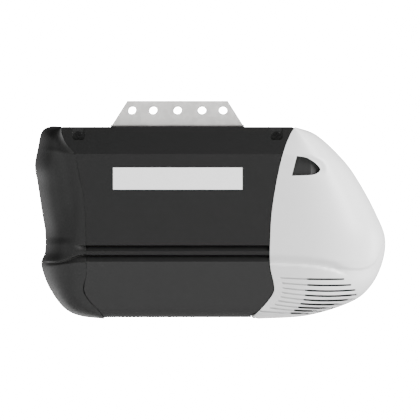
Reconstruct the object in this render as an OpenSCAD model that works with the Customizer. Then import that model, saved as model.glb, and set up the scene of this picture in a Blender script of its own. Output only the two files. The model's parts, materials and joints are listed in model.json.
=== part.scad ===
// Garage door opener power head: a wrapped body with a moulded end cap on the left,
// a hinged light lens on the right and two hanging brackets on top.
// Frame: +X towards the lens, +Y to the rear, +Z up, origin under the middle of the body.

/* [Body] */
// Half of the body's depth at its widest
body_half_w = 130; // [126:1:134]
// Half of the body's depth at the deck
top_half_w = 118.5; // [118:0.5:122]
// Half of the body's depth where the lower panel starts to curl under
low_half_w = 121; // [119:1:124]
// Height of the deck's upper face
deck_z = 219; // [218:0.5:221]
// Wall of the plastic mouldings
wall = 2.5; // [2:0.1:3]
// Gap between the cover and its neighbours
seam_gap = 0.9; // [0.6:0.1:1.4]

/* [Hanging brackets] */
// Middle of the brackets and of the drive shaft along the body
hanger_x = -37; // [-38:1:-36]
// Height of the row of holes
hanger_hole_z = 238.3; // [236:0.1:240]
// Top edge of the brackets
hanger_top_z = 248.5; // [246:0.5:252]
// Radius of the hanging holes
hanger_hole_r = 4.75; // [4:0.05:5]

/* [Drive] */
// Height of the motor axis
motor_z = 165; // [164:1:166]
// Teeth on the drive gear
gear_teeth = 32; // [30:1:33]
// Teeth on the chain sprocket
sprocket_teeth = 8; // [6:1:9]
// Pitch of the chain
chain_pitch = 12.7; // [12:0.1:12.7]

/* [Hidden] */
$fn = 64;

// Section of the body
band_z = 188;
sill_z = 65.6;
corner_z = 14;
corner_r = 12;
cover_top_z = deck_z - 1.2;
groove_depth = 4.4;
groove_lip = 0.9;

// Seams and silhouettes, as X and Z pairs joined by a smooth curve. The end cap is drawn
// to the right like the lens and mirrored into place.
lens_seam = [[97, 219], [91, 209.5], [83.5, 190], [76.5, 161], [70.5, 124], [68.4, 92],
    [68.3, 62], [72.6, 40], [72, 30], [62, 16], [48.2, 2.2]];
lens_nose = [[97, 219], [122, 210], [153, 181], [172.5, 153], [190, 120], [200.5, 92],
    [197, 63], [183, 36], [160, 18.4], [111, 3.5], [56, 0]];
cap_seam = [[169.7, 219], [168.8, 210], [164, 200], [155, 188], [150.5, 168], [144.7, 140.6],
    [142.2, 110], [141.8, 88], [141.8, 76], [141.5, 65], [141, 52], [144.3, 34],
    [138, 21.3], [128.9, 12.2], [120.7, 1.6]];
cap_nose = [[170, 219.6], [182.3, 220], [192.3, 214], [197, 195], [200.5, 174], [197.5, 155],
    [192.5, 122], [188.6, 98], [188.8, 77], [193, 65], [190.5, 51.5], [181.6, 31.4],
    [166, 11.5], [148, 3], [121.2, 0]];
seam_steps = 3;
cap_steps = 2;
squareness = 3.5;
half_columns = 12;
column_crowding = 1.6;

// Lens hinge
hinge_x = 50.4;
hinge_z = 3.6;
hinge_r = 3.2;
hinge_pin_r = 1.5;
hinge_ear_y = 50;
hinge_clear = 0.45;
run_gap = 0.05;

// Motor, worm and gears
worm_pitch_r = 8.5;
gear_module = 2;
gear_pitch_r = gear_module * gear_teeth / 2;
motor_y = -(gear_pitch_r + worm_pitch_r);
worm_starts = 2;
worm_lead = worm_starts * PI * gear_module;
worm_length = 40;
gear_face = 14;
helix_deg = atan(worm_lead / (2 * PI * worm_pitch_r));
travel_module_mm = 1;
pinion_teeth = 18;
travel_teeth = 36;
travel_y = travel_module_mm * (pinion_teeth + travel_teeth) / 2;
travel_z = 112;
stator_x0 = 13;
stator_x1 = 43;
stator_half = 42;
bolt_offset = 36;

// Frames, lamps and release tabs
lamp_frame_x = 60;
sheet = 1.5;
board_frame_x = -146;
socket_y = 60;
socket_z = 125;
tab_x = 108;
tab_z = 174;
wing_y = 108;
screw_x = [-149.5, 75.6];
screw_z = 209.5;

// Control panel
panel_x = -184;
panel_floor = 2.5;
panel_z0 = 97.8;
panel_z1 = 174.1;
panel_half_y = 52.4;
button_z = 148;
button_r = 4;
lever_y = [-24, -8, 8, 24];
lever_z = 121;

// ---------- helpers ----------
function mix(a, b, k) = a + (b - a) * k;
function knot(p, i) = p[max(0, min(len(p) - 1, i))];
function curve_at(a, b, c, d, k) =
    0.5 * (2 * b + (c - a) * k + (2 * a - 5 * b + 4 * c - d) * k * k
    + (3 * b - a - 3 * c + d) * k * k * k);
function smooth(p, steps) = [
    for (i = [0 : len(p) - 2], j = [0 : steps - 1])
        curve_at(knot(p, i - 1), p[i], p[i + 1], knot(p, i + 2), j / steps),
    p[len(p) - 1]
];
function shifted(p, dx) = [for (q = p) [q.x + dx, q.y]];
function mirrored(p) = [for (q = p) [-q.x, q.y]];
function backwards(p) = [for (i = [len(p) - 1 : -1 : 0]) p[i]];

// Half depth of the body at a height
function half_w(z) =
    z > band_z ? mix(body_half_w, top_half_w, (z - band_z) / (deck_z - band_z)) :
    z > sill_z ? body_half_w :
    z > corner_z ? mix(low_half_w, body_half_w, (z - corner_z) / (sill_z - corner_z)) :
    low_half_w - corner_r + sqrt(max(0, pow(corner_r, 2) - pow(corner_z - z, 2)));

module box(low, high) {
    translate(low) cube(high - low);
}

module rod_x(x0, x1, y, z, r) {
    translate([x0, y, z]) rotate([0, 90, 0]) cylinder(h = x1 - x0, r = r);
}

module rod_y(y0, y1, x, z, r) {
    translate([x, y1, z]) rotate([90, 0, 0]) cylinder(h = y1 - y0, r = r);
}

module rod_z(z0, z1, x, y, r) {
    translate([x, y, z0]) cylinder(h = z1 - z0, r = r);
}

// A YZ outline carried along X
module along_x(x0, x1) {
    translate([x0, 0, 0]) rotate([90, 0, 90]) linear_extrude(x1 - x0) children();
}

// An XZ outline carried along Y
module along_y(y0, y1) {
    translate([0, y1, 0]) rotate([90, 0, 0]) linear_extrude(y1 - y0) children();
}

module both_sides() {
    children();
    mirror([0, 1, 0]) children();
}

// ---------- moulded ends ----------
// Every row of the skin runs from the front seam over the nose to the rear seam.
function column_angle(v) = 90 * sign(v) * (1 - pow(1 - abs(v), column_crowding));
function skin_point(b, c, w, a) =
    let (k = pow(max(0, cos(a)), 2 / squareness), s = sign(a) * pow(abs(sin(a)), 2 / squareness))
    [mix(b.x, c.x, k), w * s, mix(b.y, c.y, k)];
function tangent(p, i) = knot(p, i + 1) - knot(p, i - 1);
function inward(p, i) = let (t = tangent(p, i)) [t.y, -t.x] / norm(t);
function quad(a, b, c, d) = [[a, b, c], [a, c, d]];
function flat(lists) = [for (l = lists, x = l) x];

// holes lists the left-out cells as [first row, last row, first column, last column]
module moulded_end(seam, nose, holes) {
    rows = len(seam) - 1;
    cols = 2 * half_columns;
    angles = [for (j = [0 : cols]) column_angle((j - half_columns) / half_columns)];
    nose_in = [for (i = [0 : rows]) nose[i] + wall * inward(nose, i)];
    seam_in = [for (i = [0 : rows]) i == 0 ? seam[0] + nose_in[0] - nose[0] : seam[i]];
    outer = [for (i = [0 : rows], a = angles) skin_point(seam[i], nose[i], half_w(seam[i].y), a)];
    inner = [for (i = [0 : rows], a = angles)
        skin_point(seam_in[i], nose_in[i], half_w(seam[i].y) - wall, a)];
    function o(i, j) = i * (cols + 1) + j;
    function n(i, j) = len(outer) + o(i, j);
    function cut(i, j) = len([for (h = holes)
        if (i >= h[0] && i < h[1] && j >= h[2] && j < h[3]) 1]) > 0;
    // Rims face up, down, forwards and backwards out of the opening that they line
    function rim_above(i, j0, j1) = flat([for (j = [j0 : j1 - 1])
        quad(o(i, j + 1), o(i, j), n(i, j), n(i, j + 1))]);
    function rim_below(i, j0, j1) = flat([for (j = [j0 : j1 - 1])
        quad(o(i, j), o(i, j + 1), n(i, j + 1), n(i, j))]);
    function rim_before(j, i0, i1) = flat([for (i = [i0 : i1 - 1])
        quad(o(i, j), o(i + 1, j), n(i + 1, j), n(i, j))]);
    function rim_after(j, i0, i1) = flat([for (i = [i0 : i1 - 1])
        quad(o(i + 1, j), o(i, j), n(i, j), n(i + 1, j))]);
    skins = flat([for (i = [0 : rows - 1], j = [0 : cols - 1]) if (!cut(i, j)) concat(
        quad(o(i, j), o(i, j + 1), o(i + 1, j + 1), o(i + 1, j)),
        quad(n(i, j), n(i + 1, j), n(i + 1, j + 1), n(i, j + 1)))]);
    edges = concat(rim_above(0, 0, cols), rim_below(rows, 0, cols),
        rim_before(0, 0, rows), rim_after(cols, 0, rows));
    windows = flat([for (h = holes) concat(
        rim_below(h[0], h[2], h[3]), rim_above(h[1], h[2], h[3]),
        rim_after(h[2], h[0], h[1]), rim_before(h[3], h[0], h[1]))]);
    polyhedron(points = concat(outer, inner), faces = concat(skins, edges, windows));
}

module light_lens() {
    window_rows = [2 * seam_steps, 2 * seam_steps + 2];
    first = 2;
    last = 5;
    cols = 2 * half_columns;
    color("gainsboro")
    moulded_end(smooth(lens_seam, seam_steps), smooth(lens_nose, seam_steps), [
        [window_rows[0], window_rows[1], first, last],
        [window_rows[0], window_rows[1], cols - last, cols - first]]);
}

module end_cap() {
    color("#3a3a3a")
    mirror([1, 0, 0])
    moulded_end(smooth(cap_seam, cap_steps), smooth(cap_nose, cap_steps), [
        [4 * cap_steps, 7 * cap_steps, half_columns - 1, half_columns + 1]]);
}

// ---------- cover ----------
function half_section(inset) = concat(
    [[half_w(cover_top_z) - inset, cover_top_z + (inset > 0 ? 1 : 0)],
    [body_half_w - inset, band_z - inset * 0.2]],
    inset > 0 ? [[body_half_w - inset, 87], [body_half_w - inset - groove_depth, 86],
        [body_half_w - inset - groove_depth, 64.5], [body_half_w - inset - 0.5, 62.5]] : [
        [body_half_w, 84.2], [body_half_w - groove_depth, 83.2],
        [body_half_w - groove_lip, 78.2], [body_half_w - 0.2, 77.6],
        [body_half_w - 0.2, 73.4], [body_half_w - groove_depth, 72.2],
        [body_half_w - groove_lip, 66.8], [body_half_w, sill_z]],
    [for (a = [0 : 15 : 90])
        [low_half_w - corner_r + (corner_r - inset) * cos(a), corner_z - (corner_r - inset) * sin(a)]]);

module section(inset) {
    right = half_section(inset);
    polygon(concat(right, backwards(mirrored(right))));
}

// The cover's outline from the front, between its two seams
module cover_outline() {
    left = shifted(mirrored(smooth(cap_seam, cap_steps)), seam_gap);
    right = shifted(smooth(lens_seam, seam_steps), -seam_gap);
    polygon(concat([[left[0].x, deck_z]], left, backwards(right)));
}

module pad_outline(grow) {
    pad_half = 6.9 + grow;
    corner = 3.5 + grow;
    foot_z = 204 - grow;
    for (x = screw_x) translate([x, 0]) {
        translate([-pad_half, foot_z + corner]) square([2 * pad_half, 20]);
        translate([-pad_half + corner, foot_z]) square([2 * (pad_half - corner), corner + 1]);
        for (s = [-1, 1]) translate([s * (pad_half - corner), foot_z + corner]) circle(corner);
    }
}

module body_cover() {
    color("#383838")
    difference() {
        union() {
            intersection() {
                along_x(-200, 200) difference() {
                    section(0);
                    section(wall);
                }
                along_y(-140, 140) cover_outline();
            }
            intersection() {
                both_sides() along_y(top_half_w - wall, 140) pad_outline(wall);
                along_x(-200, 200) section(0);
                along_y(-140, 140) cover_outline();
            }
        }
        both_sides() along_y(top_half_w, 140) pad_outline(0);
        for (x = screw_x) rod_y(-140, 140, x, screw_z, 2.2);
        rod_y(-140, 140, hinge_x, hinge_z, hinge_r + hinge_clear);
    }
}

module cover_screws() {
    color("#151515")
    both_sides() for (x = screw_x) difference() {
        union() {
            rod_y(top_half_w, top_half_w + 2.6, x, screw_z, 3.9);
            rod_y(top_half_w - 8, top_half_w, x, screw_z, 2);
        }
        box([x - 2.4, top_half_w + 1.2, screw_z - 0.5], [x + 2.4, top_half_w + 3, screw_z + 0.5]);
        box([x - 0.5, top_half_w + 1.2, screw_z - 2.4], [x + 0.5, top_half_w + 3, screw_z + 2.4]);
    }
}

module label_plate() {
    color("white")
    box([-110.2, -body_half_w - 0.6, 147.5], [36.8, -body_half_w, 172.5]);
}

// ---------- chassis ----------
flange_y = 115.5;
rail_half_pitch = 43;
foot_bolt_x = [hanger_x - 45, hanger_x + 45];
foot_bolt_y = 90;

module chassis() {
    color("#2c2c2c")
    difference() {
        union() {
            box([-168, -flange_y, deck_z - 2], [94, flange_y, deck_z]);
            both_sides() box([-163, flange_y - 2, 192], [86, flange_y, deck_z - 1]);
        }
        rod_z(deck_z - 5, deck_z + 5, hanger_x, 0, 11);
        for (s = [-1, 1]) rod_z(deck_z - 5, deck_z + 5, hanger_x + s * rail_half_pitch, 0, 4.25);
        both_sides() for (x = foot_bolt_x) rod_z(deck_z - 5, deck_z + 5, x, foot_bolt_y, 3);
        for (x = screw_x) rod_y(-140, 140, x, screw_z, 2);
        both_sides() for (x = frame_screw_x) flush_head(x, 60);
    }
}

frame_screw_x = [board_frame_x + 9, lamp_frame_x - 8];

module flush_head(x, y) {
    translate([x, y, deck_z - 2]) cylinder(h = 2, r1 = 2, r2 = 4);
}

module frame_screws() {
    color("silver")
    both_sides() for (x = frame_screw_x) {
        flush_head(x, 60);
        rod_z(deck_z - 7, deck_z - 1, x, 60, 2);
    }
}

// Outline of the sheet-metal end frames, seen along X
module frame_outline(foot_z) {
    shoulder_z = 184;
    right = [[112.5, deck_z - 2], [112.5, shoulder_z + 4], [122, shoulder_z - 6], [122, 64],
        [112, foot_z]];
    polygon(concat(right, backwards(mirrored(right))));
}

module lamp_end_frame() {
    ear = 8;
    color("whitesmoke")
    difference() {
        union() {
            along_x(lamp_frame_x, lamp_frame_x + sheet) frame_outline(20);
            both_sides() box([lamp_frame_x - 16, 40, deck_z - 2 - sheet],
                [lamp_frame_x + 0.5, 80, deck_z - 2]);
            both_sides() box([lamp_frame_x + 1, wing_y, tab_z - 16],
                [tab_x + 10, wing_y + sheet, tab_z + 16]);
            both_sides() along_y(hinge_ear_y - ear / 2, hinge_ear_y + ear / 2) union() {
                polygon([[lamp_frame_x + sheet, 24], [lamp_frame_x, 34], [hinge_x - 1, hinge_z + 3],
                    [hinge_x + 1.6, hinge_z - 2.8]]);
                translate([hinge_x, hinge_z]) circle(hinge_r);
            }
        }
        both_sides() rod_y(wing_y - 2, wing_y + 4, tab_x, tab_z, 4 + run_gap);
        both_sides() rod_y(hinge_ear_y - ear, hinge_ear_y + ear, hinge_x, hinge_z, hinge_pin_r);
        both_sides() rod_z(deck_z - 8, deck_z, frame_screw_x[1], 60, 2);
    }
}

module board_end_frame() {
    color("silver")
    difference() {
        union() {
            along_x(board_frame_x, board_frame_x + sheet) frame_outline(36);
            both_sides() box([board_frame_x, 40, deck_z - 2 - sheet],
                [board_frame_x + 16, 80, deck_z - 2]);
        }
        box([board_frame_x - 2, -30, 96], [board_frame_x + 4, 30, 160]);
        both_sides() rod_z(deck_z - 8, deck_z, frame_screw_x[0], 60, 2);
    }
}

// ---------- hanging brackets ----------
hole_offsets = [-52, -27.9, 0, 27.9, 52];
hanger_y = 102;

// Section of the bent sheet: a foot inwards over the deck and a leg up
module hanger_section(foot_in, plate, bend_r) {
    face_y = hanger_y + plate;
    translate([foot_in, deck_z]) square([face_y - bend_r - foot_in, plate]);
    translate([hanger_y, deck_z + bend_r]) square([plate, hanger_top_z - deck_z - bend_r]);
    intersection() {
        translate([face_y - bend_r, deck_z]) square(bend_r);
        translate([face_y - bend_r, deck_z + bend_r]) difference() {
            circle(bend_r);
            circle(bend_r - plate);
        }
    }
}

module hanger() {
    half_foot = 76;
    half_top = 57.2;
    plate = 2;
    foot_in = 76;
    difference() {
        intersection() {
            along_x(hanger_x - half_foot, hanger_x + half_foot) hanger_section(foot_in, plate, 2.6);
            union() {
                along_y(hanger_y - 1, hanger_y + 3) polygon([[hanger_x - half_foot, deck_z],
                    [hanger_x + half_foot, deck_z], [hanger_x + half_top, hanger_top_z],
                    [hanger_x - half_top, hanger_top_z]]);
                box([hanger_x - half_foot, foot_in, deck_z],
                    [hanger_x + half_foot, hanger_y, deck_z + plate + 1]);
            }
        }
        for (dx = hole_offsets) rod_y(hanger_y - 5, hanger_y + 5, hanger_x + dx, hanger_hole_z, hanger_hole_r);
        for (x = foot_bolt_x) rod_z(deck_z - 1, deck_z + 5, x, foot_bolt_y, 3);
    }
}

module hanger_front() {
    color("#c5c3bf") mirror([0, 1, 0]) hanger();
}

module hanger_rear() {
    color("#c5c3bf") hanger();
}

module hanger_bolts() {
    color("silver")
    both_sides() for (x = foot_bolt_x) {
        rod_z(deck_z - 8, deck_z + 2, x, foot_bolt_y, 3);
        rod_z(deck_z + 2, deck_z + 3, x, foot_bolt_y, 6.5);
        translate([x, foot_bolt_y, deck_z + 3]) cylinder(h = 3.5, r = 5.4, $fn = 6);
    }
}

// ---------- lamps ----------
socket_x1 = 95;
shell_r = 14;

module lamp_sockets() {
    color("white")
    both_sides() difference() {
        union() {
            rod_x(lamp_frame_x + sheet, socket_x1, socket_y, socket_z, 18.5);
            rod_x(lamp_frame_x + sheet, lamp_frame_x + sheet + 4, socket_y, socket_z, 22);
        }
        rod_x(lamp_frame_x + sheet + 6, socket_x1 + 1, socket_y, socket_z, shell_r);
    }
}

module socket_contacts() {
    base_x = lamp_frame_x + sheet + 6;
    color("goldenrod")
    both_sides() difference() {
        rod_x(lamp_frame_x + sheet + 8, socket_x1 - 2, socket_y, socket_z, shell_r);
        rod_x(lamp_frame_x, socket_x1 + 1, socket_y, socket_z, shell_r - 0.7);
    }
    color("goldenrod")
    both_sides() {
        rod_x(base_x, base_x + 1.7, socket_y, socket_z, 4);
        box([base_x, socket_y - 10, socket_z - 2.5], [base_x + 0.8, socket_y + 1, socket_z + 2.5]);
    }
}

// ---------- release tabs ----------
tab_face_y = 122.4;
tab_bend_x = 114.5;
tab_outline = [[96.6, 188], [110.5, 186.6], [120, 181.6], [126.6, 174.6], [127.2, 168.6],
    [123, 164.2], [114.5, 162.4], [90.4, 161.2]];

// Section of the tab's plate along Z: flat over the stem and bent in under the lens
module tab_section() {
    thick = 3;
    tip_x = 130;
    tip_y = tab_face_y - 0.36 * (tip_x - tab_bend_x);
    polygon([[85, tab_face_y - thick], [tab_bend_x, tab_face_y - thick], [tip_x, tip_y - thick],
        [tip_x, tip_y], [tab_bend_x, tab_face_y], [85, tab_face_y]]);
}

module release_tab() {
    color("#222222") {
        intersection() {
            along_y(100, 130) polygon(smooth(tab_outline, 3));
            translate([0, 0, 155]) linear_extrude(40) tab_section();
        }
        rod_y(wing_y - 3, tab_face_y - 2, tab_x, tab_z, 4);
        rod_y(wing_y - 3, wing_y - 1, tab_x, tab_z, 6);
    }
}

module release_tab_front() {
    mirror([0, 1, 0]) release_tab();
}

module release_tab_rear() {
    release_tab();
}

// A coil around the tab's stem, as rings of points joined along the wire
module release_spring() {
    turns = 3.5;
    per_turn = 12;
    ring = 6;
    coil_r = 5.6;
    wire_r = 0.6;
    start_y = wing_y + sheet + wire_r + 0.1;
    end_y = tab_face_y - 3 - wire_r - 0.1;
    steps = turns * per_turn;
    points = [for (i = [0 : steps], k = [0 : ring - 1]) let (
        a = 360 * i / per_turn,
        b = 360 * k / ring,
        r = coil_r + wire_r * cos(b))
        [tab_x + r * cos(a), mix(start_y, end_y, i / steps) + wire_r * sin(b), tab_z + r * sin(a)]];
    sides = [for (i = [0 : steps - 1], k = [0 : ring - 1]) let (l = (k + 1) % ring)
        quad(i * ring + k, i * ring + l, (i + 1) * ring + l, (i + 1) * ring + k)];
    first = [[for (k = [ring - 1 : -1 : 0]) k]];
    last = [[for (k = [0 : ring - 1]) steps * ring + k]];
    color("silver") polyhedron(points = points, faces = concat(flat(sides), first, last));
}

module release_spring_front() {
    mirror([0, 1, 0]) release_spring();
}

module release_spring_rear() {
    release_spring();
}

// ---------- lens hinge ----------
leaf_spans = [[36, 45.6], [54.4, 64]];

module hinge_leaf() {
    color("silver")
    both_sides() difference() {
        union() {
            box([56, 36, wall + 0.1], [74, 64, wall + 1.6]);
            for (span = leaf_spans) along_y(span[0], span[1]) union() {
                translate([hinge_x, hinge_z]) circle(hinge_r - 0.4);
                polygon([[hinge_x, hinge_z - 2.4], [57, wall + 0.1], [57, wall + 1.6],
                    [hinge_x, hinge_z + 2.4]]);
            }
        }
        rod_y(30, 70, hinge_x, hinge_z, hinge_pin_r + run_gap);
    }
}

module hinge_pins() {
    color("#8a8a8a")
    both_sides() rod_y(35, 65, hinge_x, hinge_z, hinge_pin_r);
}

// ---------- motor ----------
module motor_corners() {
    for (dy = [-1, 1], dz = [-1, 1])
        translate([0, motor_y + dy * bolt_offset, motor_z + dz * bolt_offset]) children();
}

module motor_square(x0, x1, half, corner) {
    intersection() {
        box([x0, motor_y - half, motor_z - half], [x1, motor_y + half, motor_z + half]);
        rod_x(x0, x1, motor_y, motor_z, corner);
    }
}

module motor_stator() {
    color("#6f6f72")
    difference() {
        motor_square(stator_x0, stator_x1, stator_half, 54);
        rod_x(stator_x0 - 1, stator_x1 + 1, motor_y, motor_z, 22);
        motor_corners() rotate([0, 90, 0]) cylinder(h = 100, r = 2.2);
    }
}

module winding(x0, x1) {
    difference() {
        rod_x(x0, x1, motor_y, motor_z, 37);
        rod_x(x0 - 1, x1 + 1, motor_y, motor_z, 24);
    }
}

module motor_windings() {
    color("chocolate") {
        winding(stator_x0 - 9, stator_x0);
        winding(stator_x1, stator_x1 + 9);
    }
}

bell_front_x = -0.5;
bell_rear_x = 56;

module motor_end_bells() {
    color("#9a9a9a")
    difference() {
        union() {
            motor_square(bell_front_x, bell_front_x + 3, stator_half, 54);
            motor_square(bell_rear_x - 3, bell_rear_x, stator_half, 54);
            motor_corners() rotate([0, 90, 0]) cylinder(h = stator_x0, r = 4);
            motor_corners() translate([stator_x1, 0, 0]) rotate([0, 90, 0])
                cylinder(h = bell_rear_x - stator_x1, r = 4);
        }
        rod_x(-10, 70, motor_y, motor_z, 4 + run_gap);
        motor_corners() translate([-10, 0, 0]) rotate([0, 90, 0]) cylinder(h = 80, r = 2.2);
    }
}

module motor_bolts() {
    color("silver")
    motor_corners() {
        translate([-2.5, 0, 0]) rotate([0, 90, 0]) cylinder(h = 61, r = 2);
        translate([-5.5, 0, 0]) rotate([0, 90, 0]) cylinder(h = 3, r = 4, $fn = 6);
    }
}

module motor_bracket() {
    color("silver")
    difference() {
        union() {
            box([-2.5, motor_y - 44, 121], [-0.5, motor_y + 44, deck_z - 2]);
            box([-2.5, motor_y - 44, deck_z - 4], [14, motor_y + 30, deck_z - 2]);
        }
        rod_x(-10, 10, motor_y, motor_z, 12);
        motor_corners() translate([-10, 0, 0]) rotate([0, 90, 0]) cylinder(h = 20, r = 2.2);
    }
}

module motor_rotor() {
    color("#7d7d80")
    difference() {
        rod_x(stator_x0, stator_x1, motor_y, motor_z, 21.4);
        rod_x(stator_x0 - 1, stator_x1 + 1, motor_y, motor_z, 4);
    }
}

module motor_shaft() {
    color("#b5b5b8") rod_x(-86, 57, motor_y, motor_z, 4);
}

// Cross section of the worm: a circle whose radius swells once for each start
worm_root_r = worm_pitch_r - 2.2;
worm_tip_r = worm_pitch_r + 1.6;
function worm_r(a) =
    let (phase = abs((a * worm_starts / 360 + 0.5) - floor(a * worm_starts / 360 + 0.5) - 0.5) * 2)
    phase < 0.24 ? worm_tip_r : phase > 0.56 ? worm_root_r :
    mix(worm_tip_r, worm_root_r, (phase - 0.24) / 0.32);

module worm() {
    sides = 24;
    crest_turn = 90 - 180 * worm_length / worm_lead;
    color("#a8a8ab")
    difference() {
        translate([hanger_x - worm_length / 2, motor_y, motor_z]) rotate([0, 90, 0])
            linear_extrude(worm_length, twist = -360 * worm_length / worm_lead, slices = 54)
            polygon([for (i = [0 : sides - 1]) let (a = 360 * i / sides)
                worm_r(a - crest_turn) * [cos(a), sin(a)]]);
        rod_x(-80, 10, motor_y, motor_z, 4);
    }
}

bearing_x = -66;

module bearing_bracket() {
    color("silver")
    difference() {
        union() {
            box([bearing_x, motor_y - 18, 144], [bearing_x + 2, motor_y + 18, deck_z - 2]);
            box([bearing_x, motor_y - 18, deck_z - 4], [bearing_x + 16, motor_y + 18, deck_z - 2]);
        }
        rod_x(bearing_x - 5, bearing_x + 5, motor_y, motor_z, 8);
    }
}

module shaft_bushing() {
    color("peru")
    difference() {
        union() {
            rod_x(bearing_x - 1.5, bearing_x + 4, motor_y, motor_z, 8);
            rod_x(bearing_x - 3, bearing_x, motor_y, motor_z, 10);
        }
        rod_x(bearing_x - 9, bearing_x + 9, motor_y, motor_z, 4 + run_gap);
    }
}

module speed_cup() {
    color("#1d1d1d")
    difference() {
        rod_x(-84, -74.5, motor_y, motor_z, 14);
        rod_x(-85, -76, motor_y, motor_z, 12.5);
        rod_x(-90, -70, motor_y, motor_z, 4);
        for (a = [0 : 60 : 120]) translate([-86, motor_y, motor_z]) rotate([a, 0, 0])
            translate([0, -20, -1.6]) cube([6, 40, 3.2]);
    }
    color("#1d1d1d")
    difference() {
        rod_x(-82, -75, motor_y, motor_z, 7);
        rod_x(-90, -70, motor_y, motor_z, 4);
    }
}

module speed_sensor() {
    color("seagreen") box([-94.4, motor_y - 12, motor_z + 4], [-92.8, motor_y + 12, deck_z - 2]);
    color("#1d1d1d") {
        box([-92.8, motor_y - 6, motor_z + 8.4], [-86.6, motor_y + 6, motor_z + 19]);
        box([-86.6, motor_y - 3, motor_z + 15.5], [-79, motor_y + 3, motor_z + 19]);
        box([-86.6, motor_y - 3, motor_z + 8.4], [-79, motor_y + 3, motor_z + 11]);
    }
}

// ---------- gear and sprocket assembly ----------
shaft_r = 8;
shaft_foot_r = 6;
shelf_z = 126;

module drive_shaft() {
    color("#b5b5b8")
    difference() {
        union() {
            rod_z(shelf_z - 2, 231, hanger_x, 0, shaft_r);
            rod_z(106, shelf_z, hanger_x, 0, shaft_foot_r);
        }
        difference() {
            rod_z(229, 229.9, hanger_x, 0, shaft_r + 1);
            rod_z(228, 231, hanger_x, 0, shaft_r - 0.8);
        }
    }
}

// A spur outline: root, flank, tip and flank again for each tooth
function tooth_ring(teeth, module_mm, thin) = let (
    pitch_r = module_mm * teeth / 2,
    tip_r = pitch_r + 0.85 * module_mm,
    root_r = pitch_r - 1.15 * module_mm,
    half_deg = 90 / teeth - thin / pitch_r * 90 / PI,
    tip_deg = half_deg * 0.5,
    root_deg = half_deg * 1.55)
    flat([for (i = [0 : teeth - 1]) let (a = 360 * i / teeth) [
        root_r * [cos(a - root_deg), sin(a - root_deg)],
        pitch_r * [cos(a - half_deg), sin(a - half_deg)],
        tip_r * [cos(a - tip_deg), sin(a - tip_deg)],
        tip_r * [cos(a + tip_deg), sin(a + tip_deg)],
        pitch_r * [cos(a + half_deg), sin(a + half_deg)],
        root_r * [cos(a + root_deg), sin(a + root_deg)]]]);

module drive_gear() {
    twist_deg = gear_face * tan(helix_deg) / gear_pitch_r * 180 / PI;
    mesh_phase = 360 / gear_teeth / 2;
    color("ivory")
    difference() {
        union() {
            translate([hanger_x, 0, motor_z]) rotate([0, 0, mesh_phase - 90 - twist_deg / 2])
                linear_extrude(gear_face, twist = -twist_deg, slices = 3, center = true)
                polygon(tooth_ring(gear_teeth, gear_module, 0.3));
            rod_z(motor_z - 12, motor_z + 12, hanger_x, 0, 15);
        }
        rod_z(100, 240, hanger_x, 0, shaft_r);
    }
}

// Chain sprocket: a blank with a roller seat between each pair of teeth
module sprocket() {
    sprocket_r = chain_pitch / (2 * sin(180 / sprocket_teeth));
    roller_r = 4.1;
    color("#8a8a8a")
    difference() {
        union() {
            rod_z(223.5, 227, hanger_x, 0, sprocket_r + 3);
            rod_z(220.2, 228.8, hanger_x, 0, 11.5);
        }
        for (i = [0 : sprocket_teeth - 1]) rotate_about_shaft(360 * i / sprocket_teeth)
            rod_z(219, 229, hanger_x + sprocket_r, 0, roller_r);
        rod_z(210, 240, hanger_x, 0, shaft_r);
    }
}

module rotate_about_shaft(deg) {
    translate([hanger_x, 0, 0]) rotate([0, 0, deg]) translate([-hanger_x, 0, 0]) children();
}

module sprocket_clip() {
    color("#5a5a5a")
    difference() {
        rod_z(229.1, 229.8, hanger_x, 0, 11);
        rod_z(228, 231, hanger_x, 0, shaft_r - 0.8);
        box([hanger_x, -4, 228], [hanger_x + 14, 4, 231]);
    }
}

module deck_bushing() {
    color("peru")
    difference() {
        union() {
            rod_z(deck_z - 2, deck_z + 0.6, hanger_x, 0, 11);
            rod_z(deck_z - 5, deck_z - 2, hanger_x, 0, 14);
        }
        rod_z(200, 240, hanger_x, 0, shaft_r + run_gap);
    }
}

module gear_bracket() {
    wall_y = 43;
    color("silver")
    difference() {
        union() {
            box([hanger_x - 32, wall_y, shelf_z], [hanger_x + 32, wall_y + 2, deck_z - 2]);
            box([hanger_x - 32, wall_y, deck_z - 4], [hanger_x + 32, wall_y + 16, deck_z - 2]);
            box([hanger_x - 20, -18, shelf_z], [hanger_x + 20, wall_y + 2, shelf_z + 2]);
            rod_z(shelf_z, shelf_z + 8, hanger_x, 0, 13);
        }
        rod_z(100, 240, hanger_x, 0, shaft_r + run_gap);
    }
}

module travel_pinion() {
    color("ivory")
    difference() {
        translate([hanger_x, 0, travel_z]) rotate([0, 0, 90])
            linear_extrude(8) polygon(tooth_ring(pinion_teeth, travel_module_mm, 0.2));
        rod_z(100, 240, hanger_x, 0, shaft_foot_r);
    }
}

module travel_gear() {
    color("orange")
    translate([hanger_x, travel_y, travel_z]) {
        rotate([0, 0, 90 + 180 / travel_teeth])
            linear_extrude(6) polygon(tooth_ring(travel_teeth, travel_module_mm, 0.2));
        translate([0, 0, -5]) cylinder(h = 17, r = 2.5);
    }
}

module travel_module() {
    color("#2a2a2a")
    difference() {
        box([hanger_x - 24, -16, 104], [hanger_x + 24, 52, shelf_z]);
        box([hanger_x - 22, -14, 108], [hanger_x + 22, 50, 122]);
        rod_z(100, 140, hanger_x, 0, shaft_r + 0.5);
        rod_z(105, 125, hanger_x, travel_y, 2.5 + run_gap);
    }
}

// ---------- electrics ----------
cap_y = 75;
cap_z = 188;
cap_r = 21;

module run_capacitor() {
    color("#b9b9bc") {
        rod_x(-125, -45, cap_y, cap_z, cap_r);
        for (dy = [-7, 7]) box([-45, cap_y + dy - 3, cap_z - 0.5], [-36, cap_y + dy + 3, cap_z + 0.5]);
    }
}

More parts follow.
